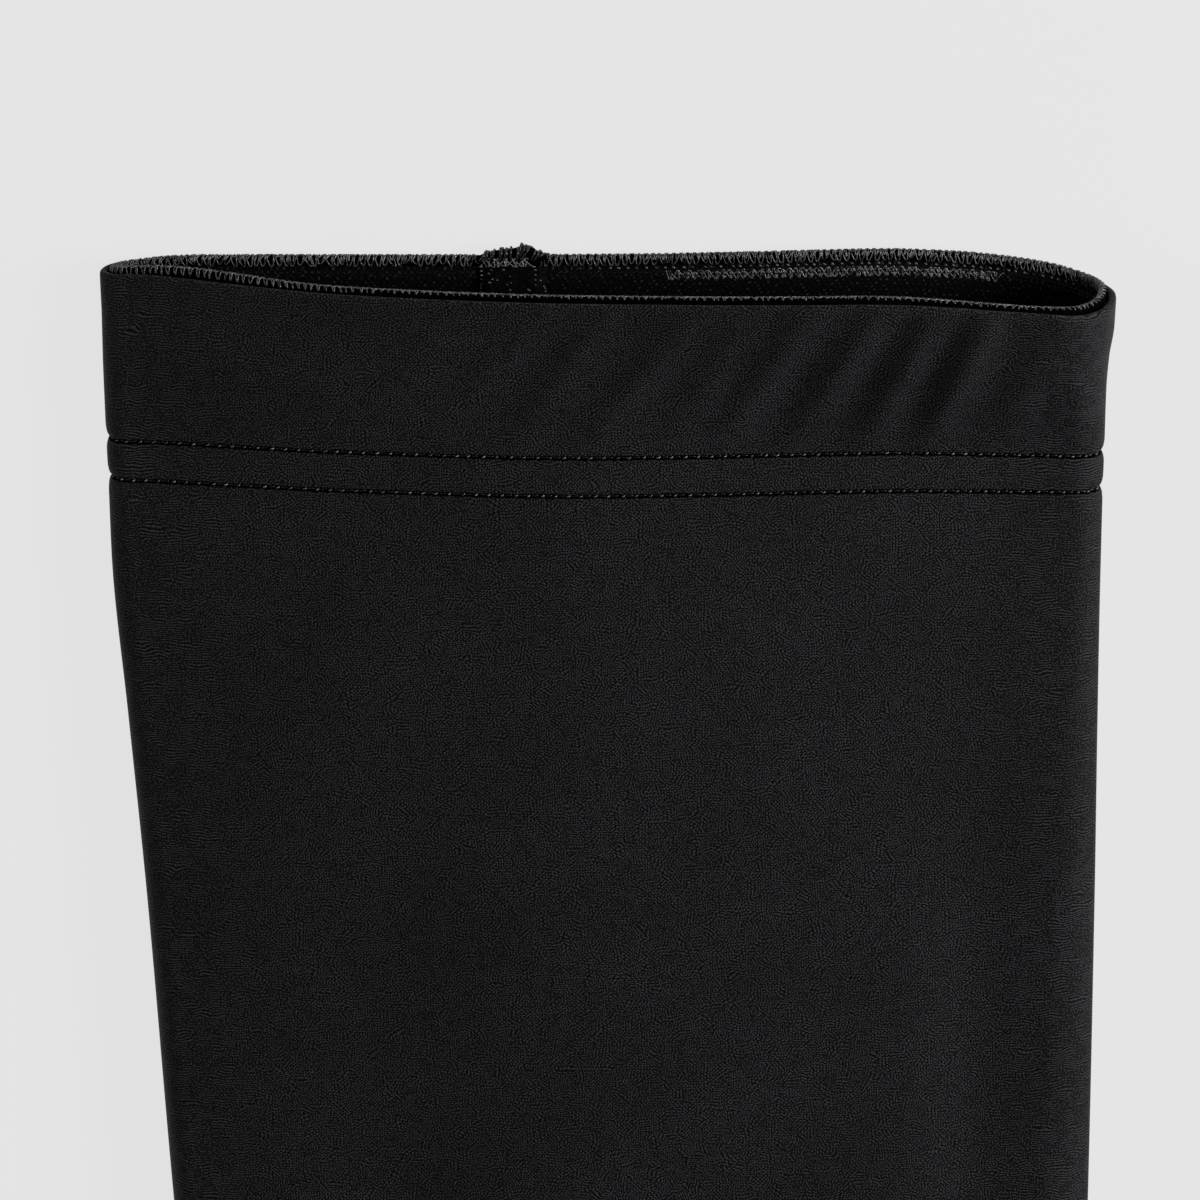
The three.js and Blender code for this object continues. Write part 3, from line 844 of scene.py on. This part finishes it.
def bar(name, start, end, count):
    """A stretch of the overlocked edge's dark core, just under its threads: near black, partly its own
    black and partly painted shade for the gaps between them.
    """
    tuck, shoulder, crown, bevel = 0.1, 0.2, 0.03, 0.15
    near, far = BAND_FACE + tuck, BAND_FACE + LOCK_THICKNESS - tuck
    foot = LOCK_HEIGHT - LOCK_PROUD
    top = -LOCK_PROUD + 0.14
    profile = [
        (foot, near), (foot, far), (top + shoulder, far), (top + crown, far - bevel),
        (top, (near + far) / 2), (top + crown, near + bevel), (top + shoulder, near),
    ]
    around = np.linspace(start, end, count)
    loops = np.stack([place(around, down, depth) for down, depth in profile], axis=1)
    return skin(name, loops[::-1], core)


def serpentine(name, start, end, swing, section, size, material, sides=6):
    """A thread that swings to and fro across a section while it runs around the rim.

    section gives (down, depth) for a share from one turn to the other, and a place around.
    size is the thread's radius, as a share of the usual one.
    """
    loops = round((end - start) / swing.pitch)
    t = np.arange(loops * LOOP_STEPS + 1) / LOOP_STEPS
    to_and_fro = 0.5 - 0.5 * np.cos(2 * np.pi * t)
    knots = np.arange(loops + 2)
    shifts = np.interp(t, knots, rng.normal(0, swing.wander, loops + 2))
    slants = np.interp(t, knots, rng.normal(swing.lean, 2 * swing.wander, loops + 2))
    reaches = np.interp(t, knots, 1 + rng.normal(0, 0.2, loops + 2))
    rounding = swing.turn * np.sin(2 * np.pi * t)
    around = start + (end - start) * (t + rounding + slants * (to_and_fro - 0.5) + shifts) / loops
    share = np.clip(0.5 + (to_and_fro - 0.5) * reaches, 0, 1)
    path = place(around, *section(share, around))
    return tubes(name, path[None], surface_normals(around)[None], size * THREAD * MM, material, sides)


def over_edge(share):
    """Distances down and depths on the way over the rim's top, which OVER_EDGE lists."""
    marks = [row.share for row in OVER_EDGE]
    down = np.interp(share, marks, [row.down for row in OVER_EDGE])
    return down, np.interp(share, marks, [BAND_FACE + row.depth for row in OVER_EDGE])


def inner_looper(share, around):
    return over_edge(0.78 * share)


def edge_looper(share, around):
    """The outer looper, whose loops reach further down the ring's outside near the left fold."""
    reach = 0.36 + 0.4 * smoothstep(-around, 22, 58)
    return over_edge(0.6 + reach * share)


def crossing_looper(share, around):
    """A thread along the ring's top: well over its inside on the back, and near its crest in front."""
    inner = 0.3 + 0.32 * smoothstep(70 - np.abs(around), 0, 20)
    return over_edge(inner + (0.86 - inner) * share)


def rim_threads():
    """The overlocked edge's looper threads, which lock into each other along its top."""
    start, end = rim_span()
    end += JOIN_OVERLAP
    return [
        serpentine(name, start + offset, end - offset, swing, section, size, material)
        for name, section, offset, swing, size, material in (
            ("rim_loops", inner_looper, 0.2, Swing(LOOP_PITCH, 0.11, 0.1, 0.17), 1.1, thread),
            # rim_cross takes the lighter copy of the thread, a painted highlight along the rim's top.
            ("rim_cross", crossing_looper, 0.45, Swing(LOOP_PITCH, -0.08, -0.4, 0.17), 0.85, lit_thread),
            ("rim_edge", edge_looper, 0.6, Swing(LOOP_PITCH, 0.1, 0.12, 0.17), 1, thread),
        )
    ]


def short_stitches(name, stitch, starts, down, depth, material, level=0):
    """Short stitches along the sleeve's surface, each sunk at both of its ends."""
    steps = np.linspace(0, 1, STITCH_STEPS)
    count = len(starts)
    lean = stitch.slant + rng.normal(0, 0.03, count)
    stretch = stitch.length * (1 + rng.normal(0, 0.12, count))
    around = starts[:, None] + stretch[:, None] * (steps - 0.5)
    across = np.reshape(down, (-1, 1)) + lean[:, None] * (0.5 - steps)
    inset = depth + stitch.dip * (2 * steps - 1) ** 2 + rng.normal(0, 0.02, (count, 1))
    paths = place(around, across, inset, level)
    radii = stitch.radius * (0.72 + 0.28 * np.sin(np.pi * steps)) * MM
    return tubes(name, paths, surface_normals(around, level), radii, material)


def hem_stitches():
    """The two rows that hold the top hem: a thread sunk in its groove, which rises once a stitch. The
    rises take the lighter copy of the thread as a painted glint, and the runs in the groove the darker
    copy as painted shade.
    """
    rows = []
    for number, row in enumerate(STITCH_ROWS):
        length = outline(row).length
        count = round(length / STITCH_PITCH)
        pitch = length / count
        rises = (np.arange(count) + 0.37 * number) * pitch + rng.normal(0, 0.09, count)
        rows.append(short_stitches(
            f"stitch_rise_{number}", RISING_STITCH, rises, row, STITCH_SINK, glint, row
        ))
        rows.append(short_stitches(
            f"stitch_run_{number}", RUNNING_STITCH, rises + pitch / 2, row, RUN_SINK, shaded_thread, row
        ))
    return rows


def wrist_stitches():
    row = SLEEVE_LENGTH - 0.9 * WRIST_HEM_DEPTH
    length = outline(row).length
    count = round(length / STITCH_PITCH)
    starts = np.arange(count) * length / count + rng.normal(0, 0.05, count)
    return short_stitches("wrist_stitches", WRIST_STITCH, starts, row, -0.02, thread, row)


def inside_needle_row():
    """Needle stitches on the inside of the rim, at the loops' feet, where the covering stitch starts."""
    starts = np.arange(back_around(COVER_RIGHT + 10), back_around(COVER_LEFT - 12), NEEDLE_PITCH)
    starts = starts + rng.normal(0, 0.1, len(starts))
    # The needle stitches take the lighter copy of the thread, a painted glint.
    return short_stitches("needle_row", NEEDLE_STITCH, starts, NEEDLE_DOWN, BAND_INSIDE - 0.03, glint)


def band_loops():
    """The covering stitch on the band's face, which stands out on the right of the back."""
    def section(share, around):
        sunk = COVER_SINK + 2 * COVER_SINK * np.sin(np.pi * share)
        return COVER_TOP + COVER_WIDTH * share, BAND_INSIDE - sunk

    start, end = back_around(COVER_RIGHT), back_around(COVER_LEFT)
    # These loops take the lighter copy of the thread, a painted highlight.
    return [
        serpentine(name, start + offset, end + offset, swing, section, 1.2, lit_thread, sides=5)
        for name, offset, swing in (
            ("band_loops", 0, Swing(COVER_PITCH, 0.06, 0.25, 0.16)),
            ("band_cross", 0.35, Swing(COVER_PITCH, -0.05, -0.5, 0.16)),
        )
    ]


def band_dots():
    """Where the covering stitch lies sunk in the band: two rows of small points of thread."""
    start, end = rim_span()
    starts = np.arange(start + DOT_PITCH, end - DOT_PITCH, DOT_PITCH)
    # The sunk points take the darker copy of the thread, a painted shade.
    return [
        short_stitches(
            f"band_dots_{row}", BAND_DOT, starts + rng.normal(0, 0.08, len(starts)), down,
            BAND_INSIDE + 0.01, shaded_thread
        )
        for row, down in enumerate(DOT_ROWS)
    ]


def join_skin(name, count, profile_at, material):
    """A solid across the join, from a function that gives its profile at each place."""
    loops = [
        np.stack([place(join_around(share), down, depth) for down, depth in profile_at(share)])
        for share in np.linspace(-1, 1, count)
    ]
    return skin(name, np.stack(loops), material)


def join_ridge():
    """The band's joined ends, a low ridge down its inside below the join."""
    back = RIDGE_FOOT - 0.25

    def profile_at(share):
        face = RIDGE_FOOT + JOIN_RIDGE * (1 - share ** 6)
        return [
            (RIDGE_TOP, back), (RIDGE_TOP, RIDGE_FOOT - 0.1), (RIDGE_TOP + RIDGE_RISE, face),
            (BAND_DEPTH, face), (BAND_DEPTH, back),
        ]

    return join_skin("join_ridge", RIDGE_SECTIONS, profile_at, joined)


def join_hump():
    """The mound under the threads that bundle the join."""
    near, tuck, foot = BAND_FACE, 0.1, -0.7

    def profile_at(share):
        top = -LOCK_PROUD - float(join_rise(share)) + 0.22
        return [
            (foot, near + tuck), (foot, near + tuck + JOIN_THICKNESS),
            (top + 0.5, near + JOIN_THICKNESS), (top, near + 0.75 * JOIN_THICKNESS),
            (top, near + 0.3 * JOIN_THICKNESS), (top + 0.4, near),
        ]

    return join_skin("join_hump", HUMP_SECTIONS, profile_at, core)


def join_bar():
    """The overlocked edge's core, where it runs on through the join."""
    start, end = rim_span()
    return bar("join_bar", end - 0.1, start + outline(0).length + 0.1, BAR_SECTIONS)


def join_threads():
    """Strands that bundle the join: slanted arcs over its mound, each a little out of place."""
    near = BAND_FACE
    steps = np.linspace(0, 1, STRAND_STEPS)
    paths, normals = [], []
    for share in np.linspace(-0.92, 0.9, STRAND_COUNT):
        share = share + rng.normal(0, 0.04)
        slant = 0.16 + 0.3 * max(share, 0) + rng.normal(0, 0.12)
        places = share + slant * (steps - 0.5)
        rise = LOCK_PROUD + join_rise(places) + rng.normal(0.0, 0.13)
        foot = -0.75 + rng.uniform(-0.25, 0.35)
        arc = np.interp(steps, [0, 0.5, 0.62, 0.74, 1], [0, 0.86, 1, 0.86, 0.2])
        down = foot - (rise + foot) * arc
        far = near + JOIN_THICKNESS + rng.uniform(0, 0.15)
        depth = np.interp(steps, [0, 0.45, 0.62, 0.8, 1], [far, far, (near + far) / 2 + 0.1, near, near])
        paths.append(place(join_around(places), down, depth))
        normals.append(surface_normals(join_around(places)))
    return tubes("join_strands", np.stack(paths), np.stack(normals), STRAND * MM, shaded_thread)


def join_loops():
    """The looper threads where they cross over the join."""
    def section(share, around):
        return 0.2 - 1.15 * share, BAND_FACE + JOIN_THICKNESS + 0.12 + 0.06 * np.sin(7 * share)

    start, end = join_around(0.45), join_around(-0.96)
    # These loops take the lighter copy of the thread, a painted highlight.
    return [
        serpentine(name, start, end, swing, section, 1, lit_thread)
        for name, swing in (
            ("join_loops", Swing(JOIN_LOOP_PITCH, 0.06, 0.7, 0.14)),
            ("join_cross", Swing(JOIN_LOOP_PITCH, -0.04, -0.6, 0.14)),
        )
    ]


def join_specks():
    """Points of thread on the joined band below the rim: scattered ones, and a row along each side."""
    left, right = np.arange(7), np.arange(4)
    shares = rng.uniform(-1, 1, SPECK_COUNT)
    shares = np.concatenate([shares, np.full(len(left), -0.95), np.full(len(right), 0.66)])
    downs = rng.uniform(0.5, 4.4, SPECK_COUNT)
    downs = np.concatenate([downs, 0.3 + 0.55 * left, 0.7 + 0.6 * right])
    risen = np.clip((downs - RIDGE_TOP) / RIDGE_RISE, 0, 1)
    depth = (RIDGE_FOOT + JOIN_RIDGE * (1 - shares ** 6) * risen)[:, None]
    # The specks take the lighter copy of the thread, a painted highlight.
    return short_stitches("join_specks", JOIN_SPECK, join_around(shares), downs, depth, lit_thread)


def seam_place(down, across, depth):
    """Points beside the lengthwise seam, at distances down, across it and into the wall."""
    points = []
    for d, a, inset in zip(*np.broadcast_arrays(down, across, depth)):
        level = round(float(d) * 2) / 2
        points.append(place(outline(level).seam - a, d, inset, level))
    return np.stack(points)


def seam_ridge():
    """The seam allowance, a low ridge down the inside of the back."""
    start, end = BAND_DEPTH + PIECE_GAP, SLEEVE_LENGTH - WRIST_HEM_DEPTH - PIECE_GAP
    downs = np.linspace(start, end, SEAM_SECTIONS)
    near = WALL + PIECE_GAP
    loops = [
        seam_place(downs, across * SEAM_WIDTH, near + rise * SEAM_THICKNESS)
        for across, rise in SEAM_SECTION
    ]
    return skin("seam_ridge", np.stack(loops, axis=1), core)


def seam_threads():
    """Overlocking that zigzags along the seam allowance."""
    start, end = BAND_DEPTH + 1, SLEEVE_LENGTH - WRIST_HEM_DEPTH - 1
    loops = round((end - start) / ZIGZAG_PITCH)
    t = np.arange(loops * ZIGZAG_STEPS + 1) / ZIGZAG_STEPS
    down = start + (end - start) * t / loops
    across = 0.4 * SEAM_WIDTH * np.cos(2 * np.pi * t)
    path = seam_place(down, across, WALL + PIECE_GAP + 0.93 * SEAM_THICKNESS)
    normals = np.broadcast_to(np.array([0.0, 0.0, 1.0]), path.shape)
    return tubes("seam_threads", path[None], normals[None], THREAD * MM, thread, sides=5)


def dress(piece, slot_name, *nodes):
    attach(piece, "root")
    if nodes:
        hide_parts(*nodes)
    return piece


cloth = dress(fabric(), "sleeve_body", "sleeve_body")
lining_band = dress(band(), "gripper_band", "gripper_band")
turn_in = dress(wrist_turn_in(), "wrist_hem", "wrist_hem")
dress(bar("rim_core", *rim_span(), CORE_SECTIONS), "rim_overlock", "rim_overlock")
for threads in (
    *rim_threads(), inside_needle_row(), *band_loops(), *band_dots(), *hem_stitches(), wrist_stitches()
):
    dress(threads, "rim_overlock")
dress(join_hump(), "band_join", "band_join")
for piece in (join_ridge(), join_bar(), join_threads(), *join_loops(), join_specks()):
    dress(piece, "band_join")
dress(seam_ridge(), "back_seam", "back_seam")
dress(seam_threads(), "back_seam")


def pale_floor():
    """A plain pale floor, evenly lit from below like a light table, so that it hardly shades."""
    size = FLOOR_REACH
    corners = [(-size, -size, 0), (size, -size, 0), (size, size, 0), (-size, size, 0)]
    g = Graph("pale_floor")
    g.set(
        Base_Color=(0.05, 0.05, 0.05, 1),
        Roughness=0.9,
        Specular_IOR_Level=0.0,
        Emission_Color=(1, 1, 1, 1),
        Emission_Strength=FLOOR_GLOW,
    )
    floor = new_object("floor", np.array(corners, float), [[0, 1, 2, 3]], g.material)
    floor.location.z = body_low.z - FLOOR_CLEARANCE


def area_light(light):
    data = bpy.data.lights.new(light.name, "AREA")
    data.shape = "DISK"
    data.size = light.size
    data.energy = light.power
    lamp = bpy.data.objects.new(light.name, data)
    lamp.location = light.place
    lamp.rotation_euler = (LIGHT_AIM - Vector(light.place)).to_track_quat("-Z", "Y").to_euler()
    bpy.context.scene.collection.objects.link(lamp)


def camera():
    """The camera looks down from the side of the rim, a little off the vertical."""
    looking = Vector((0, -math.sin(CAMERA_TILT), -math.cos(CAMERA_TILT)))
    upward = Vector((0, math.cos(CAMERA_TILT), -math.sin(CAMERA_TILT)))
    data = bpy.data.cameras.new("camera")
    data.type = "PERSP"
    data.sensor_width = 36
    data.lens = CAMERA_LENS
    data.dof.use_dof = False
    data.clip_start = 0.05
    data.clip_end = 60
    seen = bpy.data.objects.new("camera", data)
    sideways = looking.cross(upward)
    seen.matrix_world = Matrix.Translation(CAMERA_AIM - looking * CAMERA_DISTANCE) @ Matrix(
        (sideways, upward, -looking)
    ).transposed().to_4x4()
    bpy.context.scene.collection.objects.link(seen)
    bpy.context.scene.camera = seen


def studio():
    world = bpy.data.worlds.new("studio")
    world.use_nodes = True
    background = world.node_tree.nodes["Background"]
    background.inputs["Color"].default_value = (1, 1, 1, 1)
    background.inputs["Strength"].default_value = AMBIENT
    bpy.context.scene.world = world
    for light in LIGHTS:
        area_light(light)
    bpy.context.scene.view_settings.view_transform = "Standard"


camera()
studio()
pale_floor()
